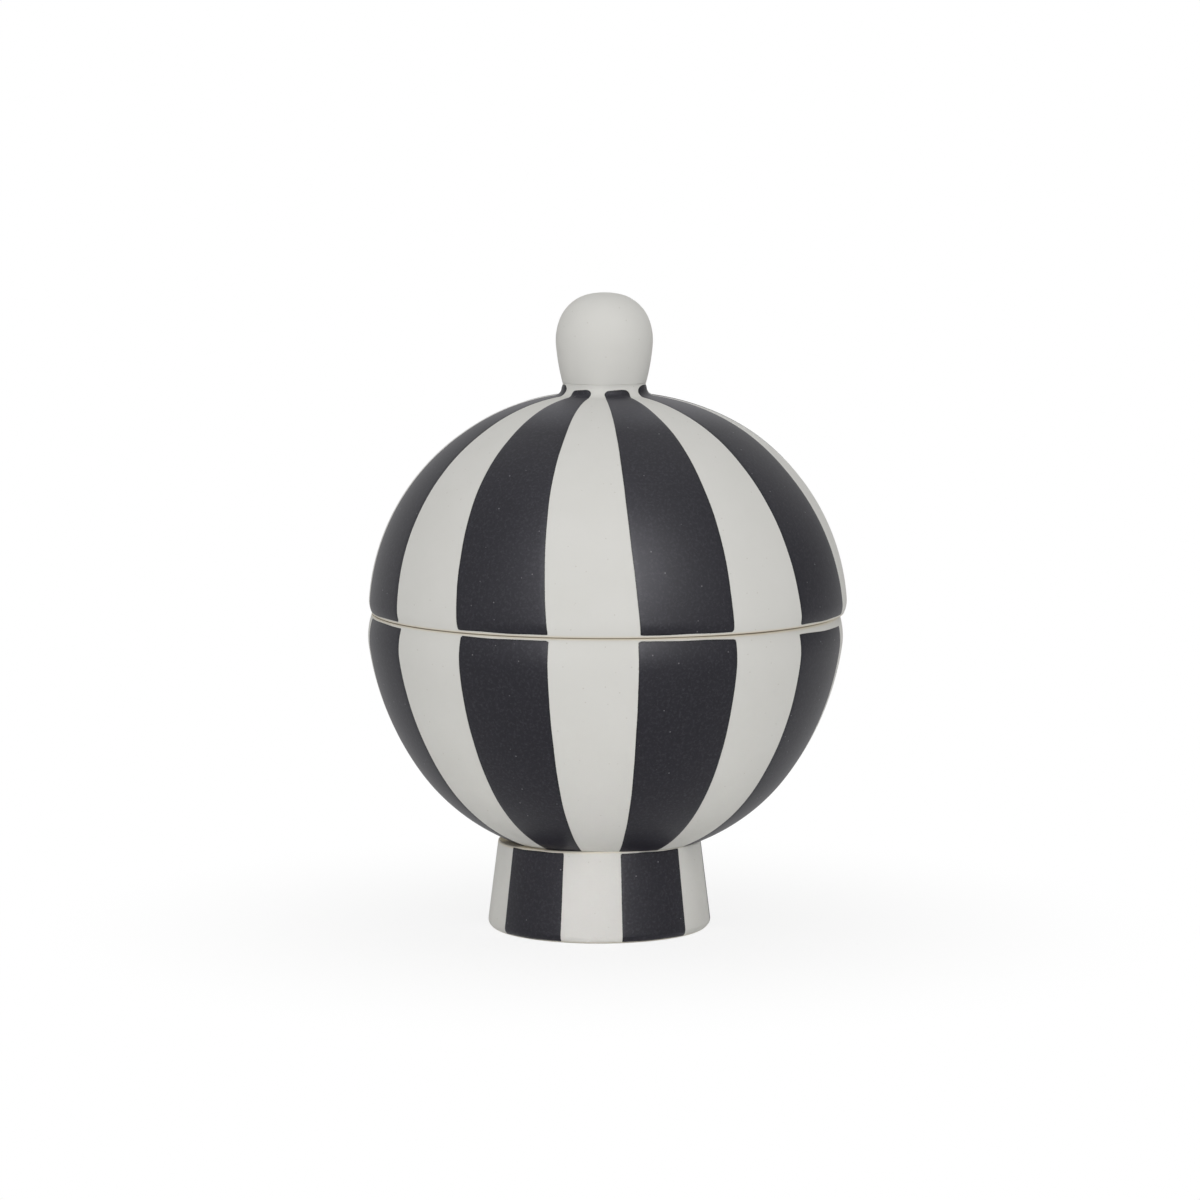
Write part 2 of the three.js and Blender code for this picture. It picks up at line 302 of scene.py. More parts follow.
@dataclass(frozen=True)
class Bands:
    """Upright bands of slip, painted freehand round a piece."""

    pairs: int  # dark bands, with as many light ones
    first: float  # azimuth at which the first dark band starts
    width: float  # of a dark band, in degrees
    slips: tuple[tuple[float, float], ...]  # how far off each band starts and ends, in degrees
    twist: float = 0.0  # degrees for each millimetre of height
    level: float = 0.0  # height at which the azimuths hold
    strays: tuple[Stray, ...] = ()
    wander: float = 0.035  # waver of a band's edge
    waver_length: float = 31.0

    def missed(self, band: int, edge: Edge, spot: Spot) -> float:
        """Measures how far an edge lies off its line beside a point.

        Args:
            band: Count of the dark band from the first one.
            edge: The edge.
            spot: The point.

        Returns:
            Distance away from the band.
        """
        turn, start, pitch, ripple_turn = edge.value
        phase = tau * spot.along / self.waver_length
        ripple = RIPPLE * sin(pitch * phase + ripple_turn * band)
        waver = self.wander * (sin(phase + turn * band + start) + ripple)
        return waver + sum(
            stray.width * smooth_step(spot.height, stray.height, stray.height + stray.length)
            for stray in self.strays
            if stray.band == band % self.pairs and stray.edge == edge
        )

    def inside(self, spot: Spot) -> float:
        """Measures how far a point lies inside the nearest dark band, between its long edges.

        Args:
            spot: The point.

        Returns:
            Distance from the nearer edge, negative on the light side.
        """
        pitch = 360 / self.pairs
        turned = spot.azimuth - self.first - self.twist * (spot.height - self.level)
        band = round((turned - self.width / 2) / pitch)
        start_slip, end_slip = self.slips[band % self.pairs]
        from_start = turned - band * pitch - start_slip
        to_end = band * pitch + self.width + end_slip - turned
        return min(
            radians(from_start) * spot.radius + self.missed(band, Edge.START, spot),
            radians(to_end) * spot.radius + self.missed(band, Edge.END, spot),
        )


@dataclass(frozen=True)
class Pattern:
    """A soft random pattern in a surface."""

    size: float
    detail: float  # how many finer patterns lie on it
    roughness: float = 0.5  # how strong each finer one is

    def inputs(self, place: NodeSocket) -> dict[str, Any]:
        """Gives what draws it at a place, in Object coordinates."""
        scale = per_metre(self.size)
        return {"Vector": place, "Scale": scale, "Detail": self.detail, "Roughness": self.roughness}


@dataclass(frozen=True)
class Ramp:
    """A strength that changes over a stretch of a value."""

    start: float
    end: float
    first: float = 0.0  # strength up to the start
    last: float = 0.0  # strength from the end on

    def inputs(self, value: NodeSocket, unit: float = 1.0) -> dict[str, Any]:
        """Gives what maps a value to the strength, where the stretch is in a unit."""
        stretch = {"From Min": self.start * unit, "From Max": self.end * unit}
        return {"Value": value, "To Min": self.first, "To Max": self.last, **stretch}


@dataclass(frozen=True)
class MatteBisque:
    """Slip-cast stoneware, fired without a glaze: chalky, fine-grained, with a few specks."""

    colour: str = "#e0dfdb"
    shade: str = "#dad9d4"
    warm: str = "#dccfb6"
    # Painted shade for the seam groove, laid at the lip's very edge
    painted_shade_colour: str = "#544a39"
    speck: str = "#a39a8a"
    roughness: float = 0.85
    specular: float = 0.2  # a porous surface mirrors less than a smooth one
    grain: Pattern = Pattern(0.45, 3.0, 0.65)
    grain_height: float = 0.012
    cloud: Pattern = Pattern(14.0, 3.0, 0.6)
    speck_spacing: float = 2.6
    speck_radius: float = 0.234
    speck_strength: float = 0.25
    wiped: Ramp = Ramp(0.2, 1.1, first=0.75)  # warmth by the way from a wiped lip
    # Strength of the painted groove shade, by the way from the lip's edge
    painted_groove_shade: Ramp = Ramp(0.15, 0.5, first=0.9)


@dataclass(frozen=True)
class CharcoalSlip:
    """Stained slip, brushed on in one thick coat and fired matte: dusty, denser at its edges, with a
    painted sheen near the neck.
    """

    colour: str = "#201f27"
    shade: str = "#17161d"
    edge: str = "#0f0f12"
    # Colour of the dust, which also paints the sheen near the neck
    dust_and_sheen: str = "#6c6c73"
    speck: str = "#97959a"
    roughness: float = 0.47
    thickness: float = 0.1
    dense: Ramp = Ramp(0.0, 0.5, first=0.85)  # by the way in from the coat's edge
    fuzz: float = 0.05
    fray: Pattern = Pattern(0.45, 2.0)
    mottle: Pattern = Pattern(2.2, 4.0, 0.7)
    motes: Pattern = Pattern(0.7, 2.0, 0.8)  # coarser than the real dust, so that it shows
    dusted: Ramp = Ramp(0.48, 0.85, last=0.16)
    neck_painted_sheen: Ramp = Ramp(126.5, 133.0, last=0.31)  # painted sheen, lighter where the dome is nearly level, standing in for its grazing reflection
    below_neck: Ramp = Ramp(133.6, 135.2, first=1.0)  # but not where it turns up to the neck
    speck_spacing: float = 3.4
    speck_radius: float = 0.22
    speck_strength: float = 0.4


@dataclass(frozen=True)
class ClearGlaze:
    """Clear glaze inside, where the box holds food: smooth, slightly wavy, wet-looking."""

    colour: str = "#dedbd2"
    tint: float = 0.6  # how far it hides the clay's own colour
    roughness: float = 0.22
    specular: float = 0.5
    wave: Pattern = Pattern(9.0, 1.0)
    wave_height: float = 0.05


class Surface:
    """A material in the making, with its node tree and the place that its patterns read."""

    def __init__(self, name: str) -> None:
        """Starts a material without a shader.

        Args:
            name: Its name.
        """
        self.material = bpy.data.materials.new(name)
        self.material.use_nodes = True
        self.tree = self.material.node_tree
        self.tree.nodes.clear()
        self.place = add_node(self.tree, "TexCoord")["Object"]

    def layered(self, ground: Any, *layers: tuple[Any, Any]) -> NodeSocket:
        """Lays colours over a ground, one after the other.

        Args:
            ground: The colour below.
            layers: The strength and the colour of each layer.

        Returns:
            The colour that is seen.
        """
        for strength, colour in layers:
            inputs = {MIX_FACTOR: strength, MIX_A: ground, MIX_B: colour}
            ground = add_node(self.tree, "Mix", inputs, data_type="RGBA")[MIX_COLOUR]
        return ground

    def specks(self, finish: MatteBisque | CharcoalSlip) -> tuple[NodeSocket, Any]:
        """Scatters the sparse specks of a finish.

        Args:
            finish: The finish.

        Returns:
            The layer of specks: its strength and its colour.
        """
        scatter = {"Vector": self.place, "Scale": per_metre(finish.speck_spacing)}
        away = add_node(self.tree, "TexVoronoi", scatter)["Distance"]
        reach = finish.speck_radius / finish.speck_spacing
        ramp = Ramp(SPECK_CORE * reach, reach, first=finish.speck_strength)
        strength = add_node(self.tree, "MapRange", ramp.inputs(away))
        return strength[0], linear(finish.speck)

    def relief(self, pattern: Pattern, height: float) -> NodeSocket:
        """Gives a pattern's relief.

        Args:
            pattern: The pattern.
            height: Its height.

        Returns:
            The relief, in metres.
        """
        noise = add_node(self.tree, "TexNoise", pattern.inputs(self.place))[0]
        inputs = {0: noise, 1: height * MM}
        return add_node(self.tree, "Math", inputs, operation="MULTIPLY")[0]

    def finish(
        self, colour: NodeSocket, height: NodeSocket, roughness: NodeSocket | float, specular: float
    ) -> Material:
        """Ends the material with its shader.

        Args:
            colour: The surface's colour.
            height: Its relief, in metres.
            roughness: Its roughness.
            specular: How much it mirrors, where 0.5 is smooth ceramic.

        Returns:
            The material.
        """
        relief = {"Strength": 1.0, "Distance": 1.0, "Height": height}
        bump = add_node(self.tree, "Bump", relief)
        looks = {"Base Color": colour, "Roughness": roughness, "Specular IOR Level": specular}
        shader = add_node(self.tree, "BsdfPrincipled", {**looks, "Normal": bump[0]})
        add_node(self.tree, "OutputMaterial", {"Surface": shader[0]})
        return self.material


@dataclass(frozen=True)
class Finishes:
    """Builds the materials of the box from what its surfaces are."""

    bisque: MatteBisque = MatteBisque()
    slip: CharcoalSlip = CharcoalSlip()
    glaze: ClearGlaze = ClearGlaze()

    def clay(self, surface: Surface) -> NodeSocket:
        """Colours the fired clay: soft clouds, and sparse iron specks.

        Args:
            surface: The surface.

        Returns:
            The colour.
        """
        bisque = self.bisque
        cloud = add_node(surface.tree, "TexNoise", bisque.cloud.inputs(surface.place))
        shaded = (cloud[0], linear(bisque.shade))
        return surface.layered(linear(bisque.colour), shaded, surface.specks(bisque))

    def grain(self, surface: Surface) -> NodeSocket:
        """Gives the height of the chalky grain, in metres."""
        return surface.relief(self.bisque.grain, self.bisque.grain_height)

    def plain(self) -> Material:
        """Makes the unpainted bisque of the knob.

        Returns:
            The material.
        """
        bisque = self.bisque
        surface = Surface("matte_bisque_plain")
        grain = self.grain(surface)
        return surface.finish(self.clay(surface), grain, bisque.roughness, bisque.specular)

    def bare(self) -> Material:
        """Makes the warmer, wiped clay of the seats and of the foot's resting ring.

        Returns:
            The material.
        """
        bisque = self.bisque
        surface = Surface("bare_clay_wiped")
        warm = surface.layered(self.clay(surface), (bisque.wiped.first, linear(bisque.warm)))
        return surface.finish(warm, self.grain(surface), bisque.roughness, bisque.specular)

    def glazed(self) -> Material:
        """Makes the clear glaze inside the bowl and the dome.

        Returns:
            The material.
        """
        glaze = self.glaze
        surface = Surface("clear_glaze_inside")
        tinted = surface.layered(self.clay(surface), (glaze.tint, linear(glaze.colour)))
        waves = surface.relief(glaze.wave, glaze.wave_height)
        return surface.finish(tinted, waves, glaze.roughness, glaze.specular)

    def banded(self) -> Material:
        """Makes the painted bisque: charcoal slip where the coat is positive, warm bare lips, with
        painted shade at the seam groove.

        Returns:
            The material.
        """
        bisque, slip = self.bisque, self.slip
        surface = Surface("matte_bisque_with_slip_bands")
        tree, place = surface.tree, surface.place
        coat = add_node(tree, "Attribute", attribute_name="coat")["Fac"]
        lip = add_node(tree, "Attribute", attribute_name="lip")["Fac"]
        height = add_node(tree, "SeparateXYZ", {0: place})["Z"]
        fray, mottle, motes = (
            add_node(tree, "TexNoise", pattern.inputs(place))[0]
            for pattern in (slip.fray, slip.mottle, slip.motes)
        )

        # The slip's edge is a little fuzzy at the grain's size
        width = 2 * slip.fuzz
        frayed = add_node(tree, "Math", {0: fray, 1: width, 2: coat}, operation="MULTIPLY_ADD")[0]
        painted, dense, neck_painted_sheen, below_neck, wiped, painted_groove_shade = (
            add_node(tree, "MapRange", inputs, interpolation_type="SMOOTHSTEP")[0]
            for inputs in (
                Ramp(0.0, width, last=1.0).inputs(frayed),
                slip.dense.inputs(coat),
                slip.neck_painted_sheen.inputs(height, MM),
                slip.below_neck.inputs(height, MM),
                bisque.wiped.inputs(lip),
                bisque.painted_groove_shade.inputs(lip),
            )
        )

        # Slip: mottled, denser in a thin line along its edges, dusty, with a painted sheen near the
        # neck
        dusted = add_node(tree, "MapRange", slip.dusted.inputs(motes))[0]
        dust_and_sheen_terms = {0: neck_painted_sheen, 1: below_neck, 2: dusted}
        dust_and_sheen = add_node(tree, "Math", dust_and_sheen_terms, operation="MULTIPLY_ADD")[0]
        charcoal = surface.layered(
            linear(slip.colour),
            (mottle, linear(slip.shade)),
            (dense, linear(slip.edge)),
            (dust_and_sheen, linear(slip.dust_and_sheen)),
            surface.specks(slip),
        )

        # Clay: warm where the lip was wiped, and darkened at its very edge with painted shade for the
        # seam groove
        colour = surface.layered(
            self.clay(surface),
            (wiped, linear(bisque.warm)),
            (painted_groove_shade, linear(bisque.painted_shade_colour)),
            (painted, charcoal),
        )
        matte = {"Value": painted, "To Min": bisque.roughness, "To Max": slip.roughness}
        roughness = add_node(tree, "MapRange", matte)[0]
        relief = {0: painted, 1: slip.thickness * MM, 2: self.grain(surface)}
        raised = add_node(tree, "Math", relief, operation="MULTIPLY_ADD")[0]
        return surface.finish(colour, raised, roughness, bisque.specular)


@dataclass(kw_only=True)
class TurnedPiece:
    """A piece of revolution that stands for one node of the frame."""

    node: str
    body: Body
    slot: Slot
    proud: float = 0.0  # thickness of the slip
    brim: tuple[float, float] = (-0.4, 0.9)  # ways in from a band's edge where it thickens
    ragged: tuple[Wave, ...] = ()  # waves in the ends of the bands
    bottom: float = field(init=False)
    top: float = field(init=False)
    axis: float = field(init=False)

    def __post_init__(self) -> None:
        """Measures the node: its lowest and highest point, and its axis along X."""
        low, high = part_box(self.node)
        self.bottom = low.z / MM
        self.top = high.z / MM
        self.axis = (low.x + high.x) / 2 / MM

    def draw(self) -> Pen:
        """Draws the piece's half section."""
        raise NotImplementedError

    def raggedness(self, spot: Spot) -> float:
        """Gives how far a band's end is out of line at a point."""
        return sum(wave.at(spot.azimuth) for wave in self.ragged)

    def coat(self, spot: Spot) -> float:
        """Gives how far a point lies inside a painted band."""
        return UNPAINTED

    def lip(self, spot: Spot) -> float:
        """Gives how far a point lies from the piece's wiped lip."""
        return -UNPAINTED

    def relief(self, spot: Spot, coat: float) -> float:
        """Gives the thickness of the slip at a point."""
        return self.proud * smooth_step(coat, *self.brim)

    def shift(self, spot: Spot) -> Vector:
        """Gives how far the hand moved a point off the true turned form."""
        return Vector((0.0, 0.0, 0.0))

    def build(self, materials: list[Material]) -> bpy.types.Object:
        """Turns the piece, measures its painted coat, and dresses it.

        Args:
            materials: One material for each skin, in the order of their indices.

        Returns:
            The object.
        """
        pen = self.draw()
        pen.revolve()
        mesh = pen.mesh
        mesh.normal_update()
        coats = mesh.verts.layers.float.new("coat")
        lips = mesh.verts.layers.float.new("lip")
        moved: list[Vector] = []
        for vertex in mesh.verts:
            x, y, z = vertex.co / MM
            spot = Spot(degrees(atan2(x, -y)), hypot(x, y), z, vertex[pen.along])
            vertex[coats] = self.coat(spot)
            vertex[lips] = self.lip(spot)
            proud = self.relief(spot, vertex[coats])
            moved.append(vertex.co + (proud * vertex.normal + self.shift(spot)) * MM)
        for vertex, place in zip(mesh.verts, moved):
            vertex.co = place
        bmesh.ops.translate(mesh, verts=mesh.verts, vec=(self.axis * MM, 0.0, 0.0))
        mesh.normal_update()

        data = bpy.data.meshes.new(self.node + "_dressed")
        mesh.to_mesh(data)
        mesh.free()
        for material in materials:
            data.materials.append(material)
        piece = bpy.data.objects.new(self.node + "_dressed", data)
        bpy.context.scene.collection.objects.link(piece)
        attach(piece, self.body.value)
        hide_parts(self.node)
        LOG.info("%s: %d faces on %s", piece.name, len(data.polygons), self.body.value)
        return piece


@dataclass(kw_only=True)
class Bowl(TurnedPiece):
    """The cast bowl: flank and belly arcs, a rolled lip, a flat land, and a glazed inside."""

    node: str = "bowl"
    body: Body = Body.BASE
    slot: Slot = Slot.BANDED
    proud: float = 0.1
    ragged: tuple[Wave, ...] = (Wave(0.06, 11), Wave(0.05, 23, 40.0))
    reach: float = 60.2  # widest radius of the flank arc
    flank_arc: float = 71.7
    flank_rise: float = 2.0  # height of the flank arc's centre above the rim
    blend: float = -35.2  # facing where the flank arc meets the belly arc
    lip_arc: float = 17.0
    lip_start: float = 8.4  # depth below the rim at which the lip starts
    lip_edge: float = 0.45
    wall: float = 5.0
    mouth_edge: float = 0.6
    bare_margin: float = 1.0
    right_dip: float = 1.7  # how much lower the bands start on the right
    right_groove_shade: float = 0.25  # how much wider the painted shade in the groove is at the front right
    groove_shade_on: tuple[float, float] = (15.0, 40.0)  # azimuths between which it gets wider
    groove_shade_off: tuple[float, float] = (65.0, 90.0)  # and narrower again
    corner: float = 0.3
    fine: float = 0.9
    coarse: float = 2.4
    bands: Bands = Bands(
        pairs=8, first=7.6, width=23.3,
        slips=(
            (0.0, 1.2), (0.5, 2.6), (0.6, -0.5), (-0.8, 0.4),
            (0.5, 0.9), (-0.4, -0.7), (1.4, 1.9), (0.9, 0.6),
        ),
        strays=(Stray(6, Edge.END, -1.0, 45.0),),
    )
    lip_length: float = field(init=False)  # way along the outline to the lip's edge

    def __post_init__(self) -> None:
        """Works out the flank's and the belly's arcs from the frame's heights."""
        super().__post_init__()
        self.rim = self.top
        self.flank = Vector((self.reach - self.flank_arc, self.rim + self.flank_rise))
        slant = direction(self.blend)
        self.belly_arc = (self.flank.y - self.bottom + self.flank_arc * slant.y) / (1 + slant.y)
        self.belly = self.flank + (self.flank_arc - self.belly_arc) * slant

    def underside(self, radius: float) -> float:
        """Gives the height of the bowl's underside at a radius on its belly arc."""
        reach = max(radius - self.belly.x, 0.0)
        return self.belly.y - sqrt(self.belly_arc**2 - reach**2)

    def draw(self) -> Pen:
        """Draws the half section from the bottom, up the outside and down the inside.

        Returns:
            The pen.
        """
        pen = Pen(0.0, self.bottom, -90.0)
        pen.cover(Skin.OUTSIDE)
        pen.line(self.belly.x, self.bottom, self.coarse)
        pen.arc(self.belly_arc, self.blend, self.fine)
        lip = degrees(asin(-(self.flank_rise + self.lip_start) / self.flank_arc))
        pen.arc(self.flank_arc, lip, self.fine)
        top = self.rim - self.lip_edge - pen.place.y + self.lip_arc * direction(lip).y
        rolled = degrees(asin(top / (self.lip_arc - self.lip_edge)))
        pen.arc(self.lip_arc, rolled, self.lip_arc / LIP_ROUND)
        pen.arc(self.lip_edge, 90.0, self.lip_edge / EDGE_ROUND)
        self.lip_length = pen.length
        pen.cover(Skin.BARE)
        inner = self.flank_arc - self.wall
        mouth_drop = self.flank_rise + self.mouth_edge
        mouth = self.flank.x + sqrt(inner**2 - mouth_drop**2)
        pen.line(mouth + self.mouth_edge, self.rim, self.coarse)
        inside = 180 - degrees(asin(mouth_drop / inner))
        pen.arc(self.mouth_edge, inside, self.mouth_edge / HIDDEN_ROUND)
        pen.cover(Skin.GLAZED)
        pen.arc(-inner, 180 + self.blend, self.coarse)
        pen.arc(self.wall - self.belly_arc, 90.0, self.coarse)
        pen.line(0.0, pen.place.y, self.coarse)
        return pen

    def coat(self, spot: Spot) -> float:
        """Measures a band, which runs from the lip to the bowl's bottom, under the foot.

        Args:
            spot: A point of the bowl.

        Returns:
            How far the point lies inside the band.
        """
        if spot.along > self.lip_length:
            return UNPAINTED
        dip = self.right_dip * max(sin(radians(spot.azimuth)), 0.0) ** 2
        end = self.lip_length - self.bare_margin - self.raggedness(spot) - dip - spot.along
        return rounded(self.bands.inside(spot), end, self.corner)

    def lip(self, spot: Spot) -> float:
        """Gives the way from the lip's edge, less where the painted groove shade is wider."""
        wider = smooth_step(spot.azimuth, *self.groove_shade_on) - smooth_step(spot.azimuth, *self.groove_shade_off)
        return abs(self.lip_length - spot.along) - self.right_groove_shade * wider


@dataclass(kw_only=True)
class FootRing(TurnedPiece):
    """The flared ring foot, seated round the bowl's underside, with a bare resting ring."""

    bowl: Bowl
    node: str = "foot_ring"
    body: Body = Body.BASE
    slot: Slot = Slot.BANDED
    proud: float = 0.08
    brim: tuple[float, float] = (-0.4, 0.7)
    ragged: tuple[Wave, ...] = (Wave(0.04, 17),)
    base_radius: float = 28.0
    top_radius: float = 25.5
    wall: float = 6.0
    base_round: float = 1.9
    base_bare: float = 35.0  # how far round the base the clay is bare, in degrees
    top_round: float = 0.4
    top_painted: float = 20.0  # how far round the top the paint goes, in degrees
    top_rise: float = 1.1  # how much higher the top stands where it is highest
    rise_azimuth: float = 30.0
    seat_gap: float = 0.05
    bare_margin: float = 0.2
    front_dip: float = 0.5  # how much lower the bands start at the front right, and opposite
    no_groove_shade: float = 0.5  # keeps the painted groove shade off the ring's edges
    corner: float = 0.25
    finest: float = 0.3
    fine: float = 0.6
    coarse: float = 2.0
    bands: Bands = Bands(
        pairs=5, first=12.0, width=37.7,
        slips=((0.0, 0.5), (0.6, -0.8), (-0.9, 0.7), (0.5, 1.0), (2.8, 2.4)),
        wander=0.02,
    )
    low: float = field(init=False)  # ways along the outline to the painted side's ends
    high: float = field(init=False)

    def draw(self) -> Pen:
        """Draws the half section from the resting ring, up the flared side and down the hollow.

        Returns:
            The pen.
        """
        height = self.top
        lean = degrees(atan2(self.base_radius - self.top_radius, height))
        pen = Pen(self.base_radius - self.wall, 0.0, -90.0)
        pen.cover(Skin.BARE)
        pen.line(self.base_radius - self.base_round, 0.0, self.coarse)
        pen.cover(Skin.OUTSIDE)
        self.low = pen.length + self.base_round * radians(self.base_bare)
        pen.arc(self.base_round, lean, self.base_round / FOOT_ROUND)
        side = direction(lean) * self.top_round
        centre = Vector((self.top_radius - self.top_round, height - self.top_round))
        pen.line(*(centre + side), self.fine)
        self.high = pen.length + self.top_round * radians(self.top_painted)
        pen.facing = lean
        pen.arc(self.top_round, 90.0, self.top_round / EDGE_ROUND)
        pen.cover(Skin.BARE)
        pen.line(self.top_radius - self.wall, height, self.finest)
        pen.line(self.base_radius - self.wall, 0.0, self.coarse)
        return pen

    def coat(self, spot: Spot) -> float:
        """Measures a band, which stops short of both edges.

        Args:
            spot: A point of the foot.

        Returns:
            How far the point lies inside the band.
        """
        ragged = self.raggedness(spot)
        low = spot.along - self.low - self.bare_margin + ragged
        dip = self.front_dip * cos(radians(spot.azimuth - self.rise_azimuth)) ** 2
        high = self.high - dip - spot.along + ragged
        return rounded(rounded(self.bands.inside(spot), low, self.corner), high, self.corner)

    def lip(self, spot: Spot) -> float:
        """Gives the way from the nearer of the two edges, and what keeps the painted groove shade
        off.
        """
        return min(abs(spot.along - self.low), abs(self.high - spot.along)) + self.no_groove_shade

    def shift(self, spot: Spot) -> Vector:
        """Raises the ring to its uneven top, and presses that down to the bowl's underside.

        Args:
            spot: A point of the foot.

        Returns:
            How far the point moves.
        """
        turned = radians(spot.azimuth)
        near = (1 + cos(turned - radians(self.rise_azimuth))) / 2
        rise = self.top_rise * near**2 * spot.height / self.top
        x = spot.radius * sin(turned) + self.axis - self.bowl.axis
        y = spot.radius * cos(turned)
        seat = self.bowl.underside(hypot(x, y)) - self.seat_gap
        return Vector((0.0, 0.0, min(rise, seat - spot.height)))


@dataclass(kw_only=True)
class Knob(TurnedPiece):
    """The egg-shaped knob, narrow at its seat and widest above the middle."""

    node: str = "knob"
    body: Body = Body.LID
    slot: Slot = Slot.PLAIN
    reach: float = 12.15
    belly_height: float = 11.0  # above the frame's seat
    belly_arc: float = 14.1
    crown_arc: float = 10.1
    crown_start: float = 23.6  # facing where the belly arc ends
    cap_start: float = 77.8  # facing where the flatter cap starts
    flank_arc: float = 55.5
    flank_end: float = -5.0  # facing where the belly arc starts
    slip_bead: float = 0.3  # height of the neck above the frame's seat
    fine: float = 0.35
    coarse: float = 1.05

    def __post_init__(self) -> None:
        """Works out the flank arc and the seat on the neck from the frame's heights."""
        super().__post_init__()
        belly = Vector((self.reach - self.belly_arc, self.bottom + self.belly_height))
        self.flank = belly - (self.flank_arc - self.belly_arc) * direction(self.flank_end)
        self.seat_height = self.bottom + self.slip_bead
        drop = self.flank.y - self.seat_height
        self.seat_facing = -degrees(asin(drop / self.flank_arc))
        self.seat = self.flank + self.flank_arc * direction(self.seat_facing)

    def draw(self) -> Pen:
        """Draws the half section from the seat, up the flank and over the crown.

        Returns:
            The pen.
        """
        pen = Pen(0.0, self.seat_height, -90.0)
        pen.cover(Skin.OUTSIDE)
        pen.line(*self.seat, self.coarse)
        pen.facing = self.seat_facing
        pen.arc(self.flank_arc, self.flank_end, self.fine)
        pen.arc(self.belly_arc, self.crown_start, self.fine)
        pen.arc(self.crown_arc, self.cap_start, self.fine)
        pen.arc(pen.place.x / direction(self.cap_start).x, 90.0, self.fine)
        return pen


